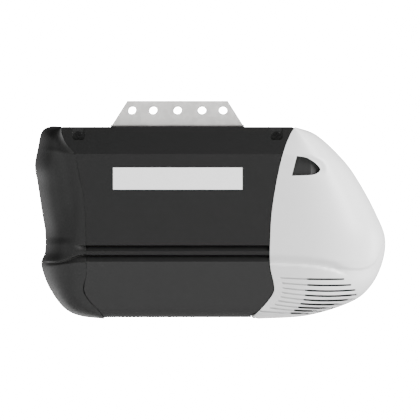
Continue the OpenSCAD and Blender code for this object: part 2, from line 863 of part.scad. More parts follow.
module capacitor_strap() {
    color("silver")
    difference() {
        union() {
            rod_x(-92, -80, cap_y, cap_z, cap_r + 1.4);
            box([-92, cap_y - 8, cap_z + cap_r - 2], [-80, cap_y + 8, deck_z - 2]);
        }
        rod_x(-95, -75, cap_y, cap_z, cap_r);
    }
}

board_x = -136;

module logic_board() {
    color("seagreen")
    difference() {
        box([board_x, -88, 56], [board_x + 1.6, 88, 176]);
        for (y = [-80, 80], z = [64, 168]) rod_x(board_x - 2, board_x + 4, y, z, 1.6);
    }
}

module board_standoffs() {
    color("goldenrod")
    for (y = [-80, 80], z = [64, 168]) {
        rod_x(board_frame_x + sheet, board_x, y, z, 3);
        rod_x(board_x, board_x + 1.6, y, z, 1.6);
        rod_x(board_x + 1.6, board_x + 3.4, y, z, 3);
    }
}

module transformer() {
    color("#55524c") box([board_x + 1.6, 22, 66], [board_x + 34, 62, 104]);
    color("goldenrod") box([board_x + 1.6, 16, 72], [board_x + 28, 22, 98]);
    color("goldenrod") box([board_x + 1.6, 62, 72], [board_x + 28, 68, 98]);
}

module relays() {
    color("#20406a")
    for (y = [-62, -40]) box([board_x + 1.6, y, 120], [board_x + 18, y + 16, 148]);
}

// ---------- control panel ----------
// A tub that fills the cap's window; its floor carries everything that is touched.
module panel_outline() {
    low_x = -187.6;
    high_x = -199.4;
    polygon([[panel_x + panel_floor, panel_z0], [low_x, panel_z0], [high_x, panel_z1],
        [panel_x + panel_floor, panel_z1]]);
}

button_spots = [["up", -26, button_z], ["adjust", 0, button_z], ["down", 26, button_z],
    ["learn", 26, 164]];
led_spot = [6, 164];
gland_spot = [-42, 156];

module control_panel() {
    lip = 2;
    color("#4a4a4a")
    difference() {
        along_y(-panel_half_y, panel_half_y) panel_outline();
        box([-210, -panel_half_y + lip, panel_z0 + lip], [panel_x, panel_half_y - lip, panel_z1 - lip]);
        for (b = button_spots) rod_x(-200, -170, b[1], b[2], button_r + 0.08);
        rod_x(-200, -170, led_spot[0], led_spot[1], 2);
        rod_x(-200, -170, gland_spot[0], gland_spot[1], 6);
    }
}

module button_board() {
    color("seagreen") box([-176, -34, 138], [-174.4, 34, 170]);
    color("#1d1d1d") for (b = button_spots)
        box([-178, b[1] - 3, b[2] - 3], [-176, b[1] + 3, b[2] + 3]);
    color("#4a4a4a") for (y = [-13, 13], z = [141, 155])
        rod_x(-181.5, -176, y, z, 2);
}

module button(y, z) {
    rod_x(-188, -179.6, y, z, button_r);
    rod_x(-181.2, -179.6, y, z, button_r + 1.2);
}

module button_up() {
    color("dimgray") button(button_spots[0][1], button_spots[0][2]);
}

module button_adjust() {
    color("darkgray") button(button_spots[1][1], button_spots[1][2]);
}

module button_down() {
    color("dimgray") button(button_spots[2][1], button_spots[2][2]);
}

module button_learn() {
    color("gold") button(button_spots[3][1], button_spots[3][2]);
}

module status_led() {
    color("orange") {
        rod_x(-187, -181.5, led_spot[0], led_spot[1], 1.95);
        rod_x(-181.5, -176, led_spot[0], led_spot[1], 2.4);
    }
}

module cord_gland() {
    color("#1d1d1d")
    difference() {
        union() {
            rod_x(-190, -178, gland_spot[0], gland_spot[1], 5.9);
            rod_x(-188, -184, gland_spot[0], gland_spot[1], 8);
        }
        rod_x(-200, -170, gland_spot[0], gland_spot[1], 3.6);
    }
}

module terminal_block() {
    color("gainsboro")
    difference() {
        box([-189, -34, 104], [panel_x, 34, 128]);
        for (y = lever_y) {
            rod_x(-195, -186, y, 110, 1.4);
            box([-195, y - 4.3, lever_z - 3.3], [-185.2, y + 4.3, lever_z + 3.3]);
        }
    }
}

module terminal_lever(y) {
    box([-191, y - 4, lever_z - 3], [-187, y + 4, lever_z + 3]);
}

module terminal_lever_1() {
    color("red") terminal_lever(lever_y[0]);
}

module terminal_lever_2() {
    color("white") terminal_lever(lever_y[1]);
}

module terminal_lever_3() {
    color("white") terminal_lever(lever_y[2]);
}

module terminal_lever_4() {
    color("gray") terminal_lever(lever_y[3]);
}

chassis();
body_cover();
cover_screws();
end_cap();
lamp_end_frame();
board_end_frame();
frame_screws();
hanger_front();
hanger_rear();
hanger_bolts();
label_plate();
lamp_sockets();
socket_contacts();
motor_stator();
motor_windings();
motor_end_bells();
motor_bolts();
motor_bracket();
motor_rotor();
motor_shaft();
worm();
shaft_bushing();
bearing_bracket();
speed_cup();
speed_sensor();
drive_shaft();
drive_gear();
sprocket();
sprocket_clip();
deck_bushing();
gear_bracket();
travel_pinion();
travel_gear();
travel_module();
run_capacitor();
capacitor_strap();
logic_board();
transformer();
relays();
board_standoffs();
control_panel();
button_board();
terminal_block();
terminal_lever_1();
terminal_lever_2();
terminal_lever_3();
terminal_lever_4();
button_up();
button_down();
button_adjust();
button_learn();
status_led();
cord_gland();
light_lens();
hinge_leaf();
hinge_pins();
release_tab_front();
release_tab_rear();
release_spring_front();
release_spring_rear();
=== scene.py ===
"""The looks of the garage door opener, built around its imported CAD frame.

Lengths in the shape functions are millimetres in the CAD frame: +X towards the lens,
+Y to the rear, +Z up. Meshes are written in metres.
"""
import json
import math

import bmesh
import bpy
import numpy as np
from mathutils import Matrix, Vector


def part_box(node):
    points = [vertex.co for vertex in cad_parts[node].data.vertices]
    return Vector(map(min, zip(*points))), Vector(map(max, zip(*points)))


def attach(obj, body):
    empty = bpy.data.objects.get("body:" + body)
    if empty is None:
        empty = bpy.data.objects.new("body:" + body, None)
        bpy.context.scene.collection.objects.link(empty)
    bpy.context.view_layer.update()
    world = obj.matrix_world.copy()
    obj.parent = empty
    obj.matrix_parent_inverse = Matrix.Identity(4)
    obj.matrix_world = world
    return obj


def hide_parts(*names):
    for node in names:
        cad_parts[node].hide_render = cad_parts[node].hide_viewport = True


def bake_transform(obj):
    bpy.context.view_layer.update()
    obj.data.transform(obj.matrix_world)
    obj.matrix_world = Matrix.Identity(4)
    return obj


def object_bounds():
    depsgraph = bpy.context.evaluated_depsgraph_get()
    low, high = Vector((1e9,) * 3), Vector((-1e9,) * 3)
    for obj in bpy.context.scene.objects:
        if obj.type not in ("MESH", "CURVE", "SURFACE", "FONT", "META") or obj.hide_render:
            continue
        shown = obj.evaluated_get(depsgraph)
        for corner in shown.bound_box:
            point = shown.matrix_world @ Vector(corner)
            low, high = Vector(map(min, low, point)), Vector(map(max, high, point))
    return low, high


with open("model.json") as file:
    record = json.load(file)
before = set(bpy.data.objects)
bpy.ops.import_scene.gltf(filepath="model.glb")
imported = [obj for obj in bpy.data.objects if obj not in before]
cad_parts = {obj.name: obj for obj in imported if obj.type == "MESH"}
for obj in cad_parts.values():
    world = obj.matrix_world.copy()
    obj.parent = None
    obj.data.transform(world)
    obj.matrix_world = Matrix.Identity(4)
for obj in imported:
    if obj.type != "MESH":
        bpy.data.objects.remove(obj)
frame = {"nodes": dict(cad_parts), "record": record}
cad_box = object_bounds()
MM = 0.001

# ---------------------------------------------------------------- body section
# Half depths of the wrap-round cover, and the heights where its section changes.
BODY_HALF_W = 130.0
TOP_HALF_W = 118.5
LOW_HALF_W = 121.0
DECK_Z = 219.0
BAND_Z = 188.0
SILL_Z = 65.6
CORNER_Z = 14.0
CORNER_R = 12.0
WALL = 2.5

# The cover steps in behind its two grooves, between these heights.
GROOVE_BACK = 4.5
GROOVE_FLOOR = (60, 63)
GROOVE_ROOF = (87, 90)

# Seam and silhouette of each moulded end, as X and Z pairs, and the rows between pairs.
LENS_SEAM = [(97, 219), (91, 209.5), (83.5, 190), (76.5, 161), (70.5, 124), (68.4, 92),
             (68.3, 62), (72.6, 40), (72, 30), (62, 16), (48.2, 2.2)]
LENS_NOSE = [(97, 219), (122, 210), (153, 181), (172.5, 153), (190, 120), (200.5, 92),
             (197, 63), (183, 36), (160, 18.4), (111, 3.5), (56, 0)]
LENS_ROWS = [12, 12, 14, 14, 14, 20, 16, 12, 12, 12]
CAP_SEAM = [(169.7, 219), (168.8, 210), (164, 200), (155, 188), (150.5, 168), (144.7, 140.6),
            (142.2, 110), (141.8, 88), (141.8, 76), (141.5, 65), (141, 52), (144.3, 34),
            (138, 21.3), (128.9, 12.2), (120.7, 1.6)]
CAP_NOSE = [(170, 219.6), (182.3, 220), (192.3, 214), (197, 195), (200.5, 174), (197.5, 155),
            (192.5, 122), (188.6, 98), (188.8, 77), (193, 65), (190.5, 51.5), (181.6, 31.4),
            (166, 11.5), (148, 3), (121.2, 0)]
CAP_ROWS = [8, 8, 10, 10, 12, 12, 12, 22, 28, 20, 12, 10, 8, 8]

# Exponent of the rounded rectangle that each row follows seen from above.
SQUARENESS = 2 / 3.5

# Only the rims of a moulded shell are sharper than this, and get a rounded edge.
RIM_ANGLE = math.radians(50)


# ---------------------------------------------------------------- small helpers
def ease(x, low=0.0, high=1.0):
    """0 below low, 1 above high, and a smooth rise between them."""
    t = np.clip((np.asarray(x, float) - low) / (high - low), 0, 1)
    return t * t * (3 - 2 * t)


def smooth_curve(points, steps):
    """Catmull-Rom curve through the points, with steps[i] samples after point i."""
    p = np.array(points, float)
    ends = np.vstack([p[:1], p, p[-1:]])
    out = []
    for i, count in enumerate(steps):
        a, b, c, d = ends[i:i + 4]
        for k in np.arange(count) / count:
            out.append(0.5 * (2 * b + (c - a) * k + (2 * a - 5 * b + 4 * c - d) * k ** 2
                              + (3 * b - a - 3 * c + d) * k ** 3))
    return np.vstack([out, p[-1]])


def half_width(z, inset=0.0):
    """Half depth of the body at a height, or of its section drawn in by an inset."""
    z = np.asarray(z, float)
    corner = np.sqrt(np.maximum(0, (CORNER_R - inset) ** 2 - (CORNER_Z - z) ** 2))
    return np.where(z > CORNER_Z,
                    np.interp(z, [CORNER_Z, SILL_Z, BAND_Z, DECK_Z],
                              [LOW_HALF_W, BODY_HALF_W, BODY_HALF_W, TOP_HALF_W]) - inset,
                    LOW_HALF_W - CORNER_R + corner)


def add_mesh(name, points, faces, smooth=True):
    """A mesh object from points in millimetres."""
    mesh = bpy.data.meshes.new(name)
    mesh.from_pydata([tuple(p) for p in np.asarray(points) * MM], [], faces)
    mesh.validate()
    mesh.update()
    for poly in mesh.polygons:
        poly.use_smooth = smooth
    obj = bpy.data.objects.new(name, mesh)
    bpy.context.scene.collection.objects.link(obj)
    return obj


def add_modifier(obj, kind, **settings):
    """A modifier with its settings given by name."""
    modifier = obj.modifiers.new(kind.title(), kind)
    for key, value in settings.items():
        setattr(modifier, key, value)
    return modifier


def apply_modifiers(obj):
    """Replaces the mesh with its evaluated result and drops the modifiers."""
    graph = bpy.context.evaluated_depsgraph_get()
    result = bpy.data.meshes.new_from_object(obj.evaluated_get(graph))
    obj.modifiers.clear()
    obj.data = result


# ---------------------------------------------------------------- moulded shells
def column_angles(columns, reach, snap=()):
    """Angles along a row from the front seam to the rear one, evenly spaced on the skin."""
    dense = np.radians(np.linspace(0, 90, 4001))
    k = np.abs(np.cos(dense)) ** SQUARENESS
    s = np.sin(dense) ** SQUARENESS
    steps = np.hypot(np.diff(s) * BODY_HALF_W, np.diff(k) * reach)
    length = np.concatenate([[0], np.cumsum(steps)])
    want = np.concatenate([np.linspace(0, length[-1], columns + 1), length[-1] - [0.7, 1.6]])
    for y in snap:
        at = np.interp(y / BODY_HALF_W, s, length)
        want[np.argmin(np.abs(want[1:-2] - at)) + 1] = at
    half = np.interp(np.unique(want), length, dense)
    return np.concatenate([-half[:0:-1], half])


def skin_points(seam, nose, width, angles):
    """Grid of points: each row leaves the front seam, rounds the nose and meets the rear seam."""
    k = np.abs(np.cos(angles))[None, :] ** SQUARENESS
    k[:, [0, -1]] = 0
    s = np.sign(angles)[None, :] * np.abs(np.sin(angles))[None, :] ** SQUARENESS
    x = seam[:, :1] + (nose[:, :1] - seam[:, :1]) * k
    z = seam[:, 1:] + (nose[:, 1:] - seam[:, 1:]) * k
    return np.stack([x, width[:, None] * s, z], axis=-1)


def skin_normals(p):
    """Outward normals of a grid of skin points."""
    down = np.gradient(p, axis=0)
    across = np.gradient(p, axis=1)
    n = np.cross(down, across)
    return n / np.maximum(np.linalg.norm(n, axis=-1, keepdims=True), 1e-9)


def moulded_end(seam, nose, row_steps, columns, reach, relief, snap=(), window=None):
    """A shell between two skins; relief gives how deep each skin point is pressed in.

    columns and reach space the points along a row; snap lists depths that columns must meet,
    and window is a height range and half depth whose cells are left out at the nose.
    """
    b = smooth_curve(seam, row_steps)
    c = smooth_curve(nose, row_steps)
    angles = column_angles(columns, reach, snap)
    tangent = np.gradient(c, axis=0)
    inward = np.stack([tangent[:, 1], -tangent[:, 0]], axis=-1)
    inward /= np.linalg.norm(inward, axis=-1, keepdims=True)
    c_in = c + WALL * inward
    b_in = b.copy()
    b_in[0] += c_in[0] - c[0]
    width = half_width(b[:, 1])
    outer = skin_points(b, c, width, angles)
    inner = skin_points(b_in, c_in, width - WALL, angles)
    normals = skin_normals(outer)
    depth = relief(outer)[..., None]
    outer = outer - normals * depth
    inner = inner - normals * depth
    rows, cols = outer.shape[0] - 1, outer.shape[1] - 1

    def o(i, j):
        return i * (cols + 1) + j

    def n(i, j):
        return (rows + 1) * (cols + 1) + o(i, j)

    keep = np.ones((rows, cols), bool)
    if window is not None:
        (z_low, z_high), half_y = window
        middle = (outer[:-1, :-1] + outer[1:, 1:]) / 2
        y, z = np.abs(middle[..., 1]), middle[..., 2]
        keep[(y < half_y) & (z > z_low) & (z < z_high)] = False
    faces = []
    for i in range(rows):
        for j in range(cols):
            if not keep[i, j]:
                continue
            faces.append((o(i, j), o(i + 1, j), o(i + 1, j + 1), o(i, j + 1)))
            faces.append((n(i, j), n(i, j + 1), n(i + 1, j + 1), n(i + 1, j)))
            if i == 0 or not keep[i - 1, j]:
                faces.append((o(i, j), o(i, j + 1), n(i, j + 1), n(i, j)))
            if i == rows - 1 or not keep[i + 1, j]:
                faces.append((o(i + 1, j + 1), o(i + 1, j), n(i + 1, j), n(i + 1, j + 1)))
            if j == 0 or not keep[i, j - 1]:
                faces.append((o(i + 1, j), o(i, j), n(i, j), n(i + 1, j)))
            if j == cols - 1 or not keep[i, j + 1]:
                faces.append((o(i, j + 1), o(i + 1, j + 1), n(i + 1, j + 1), n(i, j + 1)))
    points = np.vstack([outer.reshape(-1, 3), inner.reshape(-1, 3)])
    return points, faces, outer


def finish_shell(name, points, faces):
    """A mesh object with doubled points joined and every face turned outwards."""
    obj = add_mesh(name, points, faces)
    bm = bmesh.new()
    bm.from_mesh(obj.data)
    bmesh.ops.remove_doubles(bm, verts=bm.verts, dist=2e-6)
    bmesh.ops.delete(bm, geom=[v for v in bm.verts if not v.link_faces], context="VERTS")
    bmesh.ops.recalc_face_normals(bm, faces=bm.faces)
    bm.to_mesh(obj.data)
    bm.free()
    return obj


# ---------------------------------------------------------------- light lens
LENS_COLUMNS = 70
LENS_REACH = 100

# The D of the release window in a front view, and how far its cut runs through the wall.
WINDOW_OUTLINE = [(98.6, 185.8), (109, 184), (117.5, 179.4), (123, 174.5), (125.4, 170.4),
                  (122.4, 166.4), (114.4, 164), (92.9, 163.2)]
WINDOW_INSIDE_Y = 112
CLEAR_OUTSIDE_Y = 140

# Each vent row starts as a shallow groove and becomes a slot through the wall, which is cut
# less deep at its end and never nearer to the middle plane than NOSE_BRIDGE.
VENT_ROWS = 9
VENT_HEIGHT = 2.1
GROOVE_HEIGHT = 1.6
GROOVE_DEPTH = 1.8
SLOT_DEPTH = 14
SLOT_END_DEPTH = 6
SLOT_CLEARANCE = 5
NOSE_BRIDGE = 4
VENT_STATIONS = 34
LOWEST_AFTER = 53

# The black liner behind the vents, a dark sheet standing in for the shade inside the lens: its
# distance from the skin, its top and its left edge.
SHADE_LINER_INSET = 4.6
SHADE_LINER_TOP_Z = 50
SHADE_LINER_LEFT_X = 82
SHADE_LINER_THICKNESS = 1.0

# Undercut along the lens's middle, and the crease above its chin, seen from the front.
UNDERCUT_LINE = [(66, 63.2), (90, 62.4), (110, 61), (125, 59.2), (138, 56.6), (148, 53.4), (156, 49.5)]
UNDERCUT_DEPTH = 3.0
CHIN_LINE = [(128, 60), (144, 59.3), (160, 57.4), (173.5, 57.2), (181, 59), (187, 62.7),
             (192, 69.5), (196.3, 81), (199.7, 99)]
CHIN_DEPTH = 1.7

# Shallow oval scoop around the release window: centre, half axes and depth.
SCOOP_CENTRE = (97, 171.5)
SCOOP_RADII = (35.5, 16.5)
SCOOP_DEPTH = 1.7


def vent_row(i):
    """Start of the shallow groove, start and end of the slot, and height at the start."""
    left = 82.4 - 0.55 * (i - 2) ** 2 if i < VENT_ROWS - 1 else 57
    slot = 112 - 0.3 * i ** 2
    right = 167 - 1.6 * (i - 3) ** 2
    return left, slot, right, 47.2 - 6.0 * i + 0.16 * i ** 2


def vent_height(i, x, left, start_z):
    """Each row dips to its lowest point LOWEST_AFTER its start, the middle rows most."""
    dip = 4.7 - 0.15 * (i - 4.5) ** 2
    return start_z - dip * (1 - ((x - left) / LOWEST_AFTER - 1) ** 2)


def distance_below(line, x, z):
    """Distance from a line of (x, z) points drawn left to right, positive under it."""
    nearest = np.full(x.shape, np.inf)
    signed = np.zeros(x.shape)
    for (x0, z0), (x1, z1) in zip(line[:-1], line[1:]):
        dx, dz = x1 - x0, z1 - z0
        along = np.clip(((x - x0) * dx + (z - z0) * dz) / (dx * dx + dz * dz), 0, 1)
        far = np.hypot(x - x0 - along * dx, z - z0 - along * dz)
        side = np.sign(dz * (x - x0) - dx * (z - z0))
        closer = far < nearest
        nearest = np.where(closer, far, nearest)
        signed = np.where(closer, far * side, signed)
    return signed


def lens_relief(p):
    """Undercut that carries the cover's grooves on, the chin's edge and the scoop."""
    x, y, z = p[..., 0], np.abs(p[..., 1]), p[..., 2]
    line = np.interp(x, *zip(*UNDERCUT_LINE))
    step = ease(z, line - 1.0, line) * (1 - ease(z, line + 1.5, line + 12))
    undercut = UNDERCUT_DEPTH * step * (1 - ease(x, 138, 162))
    below = distance_below(CHIN_LINE, x, z)
    chin = CHIN_DEPTH * ease(below, -0.4, 1.0) * (1 - ease(below, 1.5, 15)) * ease(x, 136, 158)
    chin = chin * (1 - ease(z, 80, 100))
    reach = np.hypot((x - SCOOP_CENTRE[0]) / SCOOP_RADII[0], (z - SCOOP_CENTRE[1]) / SCOOP_RADII[1])
    scoop = SCOOP_DEPTH * (1 - ease(reach, 0.86, 1.0)) * ease(x, 97, 107) * ease(z, 161, 170)
    return (undercut + chin) * ease(y, 30, 80) + scoop * (y > 60)


def surface_depth(outer, x, z):
    """Half depth of the lens skin where a front view shows x and z."""
    front = outer[:, :outer.shape[1] // 2 + 1]
    near = (front[..., 0] - x) ** 2 + (front[..., 2] - z) ** 2
    flat_index = np.argsort(near, axis=None)[:4]
    weight = 1 / (near.ravel()[flat_index] + 1e-3)
    return float(np.sum(-front[..., 1].ravel()[flat_index] * weight) / np.sum(weight))


def ribbon(stations, side):
    """A closed bar of rectangular section through (x, z, depth in, depth out, height)."""
    points, faces = [], []
    for x, z, low, high, height in stations:
        points += [(x, side * low, z - height / 2), (x, side * high, z - height / 2),
                   (x, side * high, z + height / 2), (x, side * low, z + height / 2)]
    for i in range(len(stations) - 1):
        for k in range(4):
            a, b = 4 * i + k, 4 * i + (k + 1) % 4
            faces.append((a, b, b + 4, a + 4))
    faces += [(3, 2, 1, 0), tuple(4 * (len(stations) - 1) + k for k in range(4))]
    return points, faces


def lens_cutters(outer):
    """The D-shaped release windows and the vents, whose rows are staggered front to rear."""
    points, faces = [], []

    def add(new_points, new_faces):
        start = len(points)
        points.extend(new_points)
        faces.extend(tuple(start + k for k in f) for f in new_faces)

    front_rows = [(-1, i) for i in range(VENT_ROWS)]
    rear_rows = [(1, i + 0.5) for i in range(VENT_ROWS - 1)]
    for side, i in front_rows + rear_rows:
        left, slot, right, start_z = vent_row(i)
        stations = []
        for x in np.linspace(left, right, VENT_STATIONS):
            z = vent_height(i, x, left, start_z)
            skin = surface_depth(outer, x, z)
            through = float(ease(x, slot - 1.5, slot + 0.5))
            end = float(ease(x, right - 1, right - 12))
            height = GROOVE_HEIGHT + (VENT_HEIGHT - GROOVE_HEIGHT) * through * (0.4 + 0.6 * end)
            slot_depth = SLOT_END_DEPTH + (SLOT_DEPTH - SLOT_END_DEPTH) * end
            low = max(NOSE_BRIDGE, skin - GROOVE_DEPTH - slot_depth * through)
            stations.append((x, z, low, skin + SLOT_CLEARANCE, height))
        add(*ribbon(stations, side))
    outline = smooth_curve(WINDOW_OUTLINE, [5] * (len(WINDOW_OUTLINE) - 1))
    count = len(outline)
    for side in (-1, 1):
        near = [(x, side * WINDOW_INSIDE_Y, z) for x, z in outline]
        far = [(x, side * CLEAR_OUTSIDE_Y, z) for x, z in outline]
        ring = [(k, (k + 1) % count, count + (k + 1) % count, count + k) for k in range(count)]
        add(near + far, ring + [tuple(range(count - 1, -1, -1)), tuple(range(count, 2 * count))])
    cutter = add_mesh("lens_cutter", points, faces, smooth=False)
    bm = bmesh.new()
    bm.from_mesh(cutter.data)
    bmesh.ops.recalc_face_normals(bm, faces=bm.faces)
    bm.to_mesh(cutter.data)
    bm.free()
    return cutter


def build_vent_shade_liner(outer):
    """Thin black liner inside the lens behind the vents, following the skin around the nose; a dark
    sheet that stands in for the shade seen through the slots.
    """
    inner = outer - skin_normals(outer) * SHADE_LINER_INSET
    x, z = inner[..., 0], inner[..., 2]
    inside = (z < SHADE_LINER_TOP_Z) & (x > SHADE_LINER_LEFT_X)
    index = np.arange(inner.shape[0] * inner.shape[1]).reshape(inner.shape[:2])
    faces = []
    for i in range(inner.shape[0] - 1):
        for j in range(inner.shape[1] - 1):
            if inside[i:i + 2, j:j + 2].all():
                corners = index[i, j], index[i + 1, j], index[i + 1, j + 1], index[i, j + 1]
                faces.append(tuple(int(k) for k in corners))
    shade_liner = finish_shell("vent_shade_liner", inner.reshape(-1, 3), faces)
    add_modifier(shade_liner, "SOLIDIFY", thickness=SHADE_LINER_THICKNESS * MM)
    return shade_liner


def build_lens():
    """The lens with its windows and vents cut out, and the dark liner behind the vents that stands in
    for their shade.
    """
    points, faces, outer = moulded_end(LENS_SEAM, LENS_NOSE, LENS_ROWS, LENS_COLUMNS, LENS_REACH,
                                       lens_relief)
    lens = finish_shell("lens_shell", points, faces)
    cutter = lens_cutters(outer)
    add_modifier(lens, "BOOLEAN", operation="DIFFERENCE", solver="EXACT", object=cutter)
    apply_modifiers(lens)
    bpy.data.objects.remove(cutter)
    add_modifier(lens, "BEVEL", width=0.35 * MM, segments=2, limit_method="ANGLE",
                 angle_limit=RIM_ANGLE, use_clamp_overlap=True)
    return lens, build_vent_shade_liner(outer)


# ---------------------------------------------------------------- end cap
CAP_COLUMNS = 62
CAP_REACH = 55

# Height range and half depth of the opening for the control panel.
CAP_WINDOW = ((97.9, 173.9), 52.2)

# How deep each feature of the skin is pressed in, and the height of the parting line.
VALLEY_DEPTH = 3.2
RIDGE_DEPTH = 1.0
PARTING_DEPTH = 0.5
PARTING_Z = 31.4


def cap_relief(p):
    """Valley along the seam, the cover's two grooves running out, ridge and parting line.

    groove is the lower one, whose edges sink towards the bumper; notch is the short upper one.
    """
    x, y, z = p[..., 0], np.abs(p[..., 1]), p[..., 2]
    side = ease(y, 60, 105)
    valley_x = 166 + 9 * ease(z, 120, 215)
    valley = VALLEY_DEPTH * np.exp(-((x - valley_x) / 10) ** 2)
    valley = valley * ease(z, 84, 135) * (1 - ease(z, 160, 214))
    low_edge = 66.2 - 4.5 * ease(x, 142, 183)
    high_edge = 72.6 - 8 * ease(x, 143, 174)
    rise = np.clip((z - low_edge) / np.maximum(high_edge - low_edge, 0.5), 0, 1)
    groove = (0.9 + 3.3 * rise) * ease(z, low_edge - 1.4, low_edge + 0.6)
    groove = groove * (1 - ease(z, high_edge - 0.3, high_edge + 1.5))
    groove = groove * (1 - 0.7 * ease(x, 142, 176)) * (1 - ease(x, 182, 190))
    notch = (0.6 + 1.8 * np.clip((z - 78.4) / 4.8, 0, 1)) * ease(z, 77.6, 78.4)
    notch = notch * (1 - ease(z, 83.2, 84.2)) * (1 - ease(x, 143.5, 154))
    ridge = RIDGE_DEPTH * ease(z, 84.5, 94) * (1 - ease(z, 100, 145)) * ease(x, 150, 166)
    parting = PARTING_DEPTH * np.exp(-((z - PARTING_Z) / 0.6) ** 2) * ease(x, 168, 174)
    return (valley + groove + notch + ridge) * side + parting


def build_end_cap():
    """The cap, shaped like the lens and mirrored, with the opening for the control panel.

    Above its low corner the cap's edge stands back from the seam line by half a millimetre.
    """
    edge = [(x - 0.5 * float(ease(z, 34, 52)), z) for x, z in CAP_SEAM]
    points, faces, _ = moulded_end(edge, CAP_NOSE, CAP_ROWS, CAP_COLUMNS, CAP_REACH, cap_relief,
                                   snap=(CAP_WINDOW[1],), window=CAP_WINDOW)
    points[:, 0] *= -1
    cap = finish_shell("cap_shell", points, faces)
    add_modifier(cap, "BEVEL", width=0.4 * MM, segments=2, limit_method="ANGLE",
                 angle_limit=RIM_ANGLE, use_clamp_overlap=True)
    return cap


# ---------------------------------------------------------------- seam strips, painted shade in the gaps
STRIP_LOW_Z = 4.6
STRIP_HIGH_Z = 218.4

# Corners of a strip's section: distance past the seam, and depth under the cover's outside.
STRIP_SECTION = ((-5, WALL + 0.02), (1.2, WALL + 0.35), (1.2, WALL + 1.2), (-5, WALL + 1.2))


def build_seam_shade_strip(name, line, steps, direction):
    """Dark strip fixed inside the cover, closing the view through the gap along a seam; its black
    stands in for the shade in the gap.
    """
    seam = smooth_curve(line, steps)
    seam = seam[(seam[:, 1] > STRIP_LOW_Z) & (seam[:, 1] < STRIP_HIGH_Z)]
    points, faces = [], []
    for side in (-1, 1):
        start = len(points)
        for x, z in seam:
            step = GROOVE_BACK * float(ease(z, *GROOVE_FLOOR) * (1 - ease(z, *GROOVE_ROOF)))
            for dx, inset in STRIP_SECTION:
                y = float(half_width(z, inset) - step)
                points.append((direction * (x + dx), side * y, z))
        for i in range(len(seam) - 1):
            for k in range(4):
                a, b = start + 4 * i + k, start + 4 * i + (k + 1) % 4
                faces.append((a, b, b + 4, a + 4))
        end = start + 4 * (len(seam) - 1)
        faces += [tuple(range(start, start + 4)), tuple(range(end, end + 4))]
    return finish_shell(name, points, faces)


# ---------------------------------------------------------------- release springs
SPRING_TURNS = 3.5
SPRING_WIRE_R = 0.55
SPRING_STEPS_PER_TURN = 28
SPRING_WIRE_SIDES = 10


def build_spring(name, node, side):
    """Coil of round wire in the CAD spring's place, and the two ends of its axis."""
    low, high = np.array(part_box(node)) / MM
    centre = (low + high) / 2
    coil_r = (high[0] - low[0]) / 2 - SPRING_WIRE_R
    near, far = sorted((side * low[1], side * high[1]))
    near, far = near + SPRING_WIRE_R, far - SPRING_WIRE_R
    steps = int(SPRING_TURNS * SPRING_STEPS_PER_TURN)
    ring = SPRING_WIRE_SIDES
    points, faces = [], []
    for i in range(steps + 1):
        turn = 2 * math.pi * i / SPRING_STEPS_PER_TURN
        y = near + (far - near) * i / steps
        for k in range(ring):
            around = 2 * math.pi * k / ring
            r = coil_r + SPRING_WIRE_R * math.cos(around)
            points.append((centre[0] + r * math.cos(turn),
                           side * (y + SPRING_WIRE_R * math.sin(around)),
                           centre[2] + r * math.sin(turn)))
    for i in range(steps):
        for k in range(ring):
            here, beside = i * ring + k, i * ring + (k + 1) % ring
            faces.append((here, beside, beside + ring, here + ring))
    faces += [tuple(range(ring)), tuple(steps * ring + k for k in range(ring))]
    spring = finish_shell(name, points, faces)
    ends = [(centre[0] * MM, side * y * MM, centre[2] * MM) for y in (near, far)]
    return spring, ends


# ---------------------------------------------------------------- materials
def shader_tree(name):
    """An empty material with one shader joined to its output."""
    material = bpy.data.materials.new(name)
    material.use_nodes = True
    tree = material.node_tree
    tree.nodes.clear()
    out = tree.nodes.new("ShaderNodeOutputMaterial")
    shader = tree.nodes.new("ShaderNodeBsdfPrincipled")
    tree.links.new(shader.outputs[0], out.inputs[0])
    return material, tree, shader


def add_node(tree, kind, **inputs):
    """A node with input values given by name, underscores standing for spaces."""
    node = tree.nodes.new(kind)
    for key, value in inputs.items():
        node.inputs[key.replace("_", " ")].default_value = value
    return node


def coordinates(tree, stretch=(1, 1, 1)):
    """Object coordinates in metres, stretched for brushed or drawn surfaces."""
    place = tree.nodes.new("ShaderNodeTexCoord")
    mapping = add_node(tree, "ShaderNodeMapping", Scale=stretch)
    tree.links.new(place.outputs["Object"], mapping.inputs["Vector"])
    return mapping.outputs[0]


def ramp(tree, source, stops):
    """A colour ramp through (position, colour) stops, fed by a socket."""
    node = tree.nodes.new("ShaderNodeValToRGB")
    elements = node.color_ramp.elements
    while len(elements) < len(stops):
        elements.new(0.5)
    for element, (place, colour) in zip(elements, stops):
        element.position = place
        element.color = (*colour, 1)
    tree.links.new(source, node.inputs[0])
    return node.outputs[0]


def shade(colour, factor):
    """The colour made lighter or darker, up to white."""
    return tuple(min(1.0, c * factor) for c in colour)


